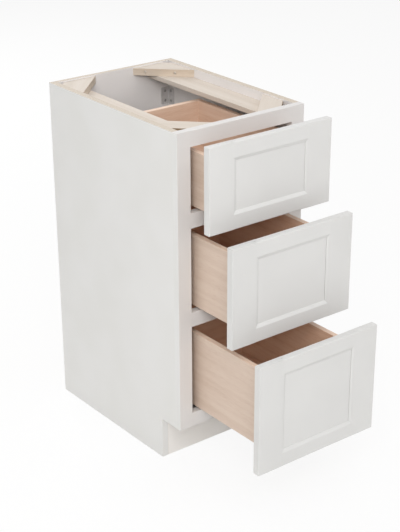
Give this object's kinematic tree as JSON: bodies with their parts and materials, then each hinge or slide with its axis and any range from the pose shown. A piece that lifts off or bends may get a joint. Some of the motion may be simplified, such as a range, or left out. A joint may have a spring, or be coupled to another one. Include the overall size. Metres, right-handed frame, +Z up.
{
  "type": "vanity drawer base",
  "caption": "Narrow vanity base cabinet with a face frame, recessed toe space and stacked full overlay drawers on concealed runners, open on top for a worktop.",
  "frame": {"origin": "middle of the back panel's lower edge, on the wall plane at floor level", "axes": "+Y into the wall, so the drawers face -Y; +Z up; +X to the right of someone who faces the fronts"},
  "size_m": [0.381, 0.8231, 0.8763],
  "materials": {
    "white_paint": "satin white paint",
    "front_paint": "satin white paint",
    "bare_wood": "bare pale wood",
    "drawer_wood": "clear lacquer",
    "drawer_bottom": "clear lacquer",
    "zinc_steel": "zinc plated",
    "screw_steel": "zinc plated",
    "clip_plastic": "matte"
  },
  "bodies": {
    "carcass": {"side_panel_left": "white_paint", "side_panel_right": "white_paint", "back_panel": "white_paint", "floor_panel": "white_paint", "toe_board": "white_paint", "face_stile_left": "white_paint", "face_stile_right": "white_paint", "face_top_rail": "white_paint", "face_upper_mid_rail": "white_paint", "face_lower_mid_rail": "white_paint", "face_bottom_rail": "white_paint", "corner_block_front_left": "bare_wood", "corner_block_front_right": "bare_wood", "corner_block_rear_left": "bare_wood", "corner_block_rear_right": "bare_wood", "side_cleat_left": "bare_wood", "side_cleat_right": "bare_wood", "corner_brackets": "zinc_steel", "carcass_screws": "screw_steel", "runner_cabinet_members": "zinc_steel", "runner_rear_brackets": "zinc_steel"},
    "upper_drawer": {"upper_front_stile_left": "front_paint", "upper_front_stile_right": "front_paint", "upper_front_top_rail": "front_paint", "upper_front_bottom_rail": "front_paint", "upper_front_panel": "front_paint", "upper_box_side_left": "drawer_wood", "upper_box_side_right": "drawer_wood", "upper_box_front": "drawer_wood", "upper_box_back": "drawer_wood", "upper_box_bottom": "drawer_bottom", "upper_drawer_members": "zinc_steel", "upper_runner_clips": "clip_plastic"},
    "upper_runner_middle": {"upper_middle_members": "zinc_steel"},
    "middle_drawer": {"middle_front_stile_left": "front_paint", "middle_front_stile_right": "front_paint", "middle_front_top_rail": "front_paint", "middle_front_bottom_rail": "front_paint", "middle_front_panel": "front_paint", "middle_box_side_left": "drawer_wood", "middle_box_side_right": "drawer_wood", "middle_box_front": "drawer_wood", "middle_box_back": "drawer_wood", "middle_box_bottom": "drawer_bottom", "middle_drawer_members": "zinc_steel", "middle_runner_clips": "clip_plastic"},
    "middle_runner_middle": {"middle_middle_members": "zinc_steel"},
    "lower_drawer": {"lower_front_stile_left": "front_paint", "lower_front_stile_right": "front_paint", "lower_front_top_rail": "front_paint", "lower_front_bottom_rail": "front_paint", "lower_front_panel": "front_paint", "lower_box_side_left": "drawer_wood", "lower_box_side_right": "drawer_wood", "lower_box_front": "drawer_wood", "lower_box_back": "drawer_wood", "lower_box_bottom": "drawer_bottom", "lower_drawer_members": "zinc_steel", "lower_runner_clips": "clip_plastic"},
    "lower_runner_middle": {"lower_middle_members": "zinc_steel"}
  },
  "joints": [
    {"name": "upper_drawer_slide", "type": "slide", "parent": "carcass", "child": "upper_drawer", "axis": [0, -1, 0], "range_m": [-0.0865, 0.3125]},
    {"name": "upper_runner_slide", "type": "slide", "parent": "carcass", "child": "upper_runner_middle", "axis": [0, -1, 0], "range_m": [-0.04325, 0.15625]},
    {"name": "middle_drawer_slide", "type": "slide", "parent": "carcass", "child": "middle_drawer", "axis": [0, -1, 0], "range_m": [-0.1698, 0.2292]},
    {"name": "middle_runner_slide", "type": "slide", "parent": "carcass", "child": "middle_runner_middle", "axis": [0, -1, 0], "range_m": [-0.0849, 0.1146]},
    {"name": "lower_drawer_slide", "type": "slide", "parent": "carcass", "child": "lower_drawer", "axis": [0, -1, 0], "range_m": [-0.2697, 0.1293]},
    {"name": "lower_runner_slide", "type": "slide", "parent": "carcass", "child": "lower_runner_middle", "axis": [0, -1, 0], "range_m": [-0.13485, 0.06465]}
  ],
  "couplings": [
    {"joint": "upper_runner_slide", "follows": "upper_drawer_slide", "ratio": 0.5},
    {"joint": "middle_runner_slide", "follows": "middle_drawer_slide", "ratio": 0.5},
    {"joint": "lower_runner_slide", "follows": "lower_drawer_slide", "ratio": 0.5}
  ]
}
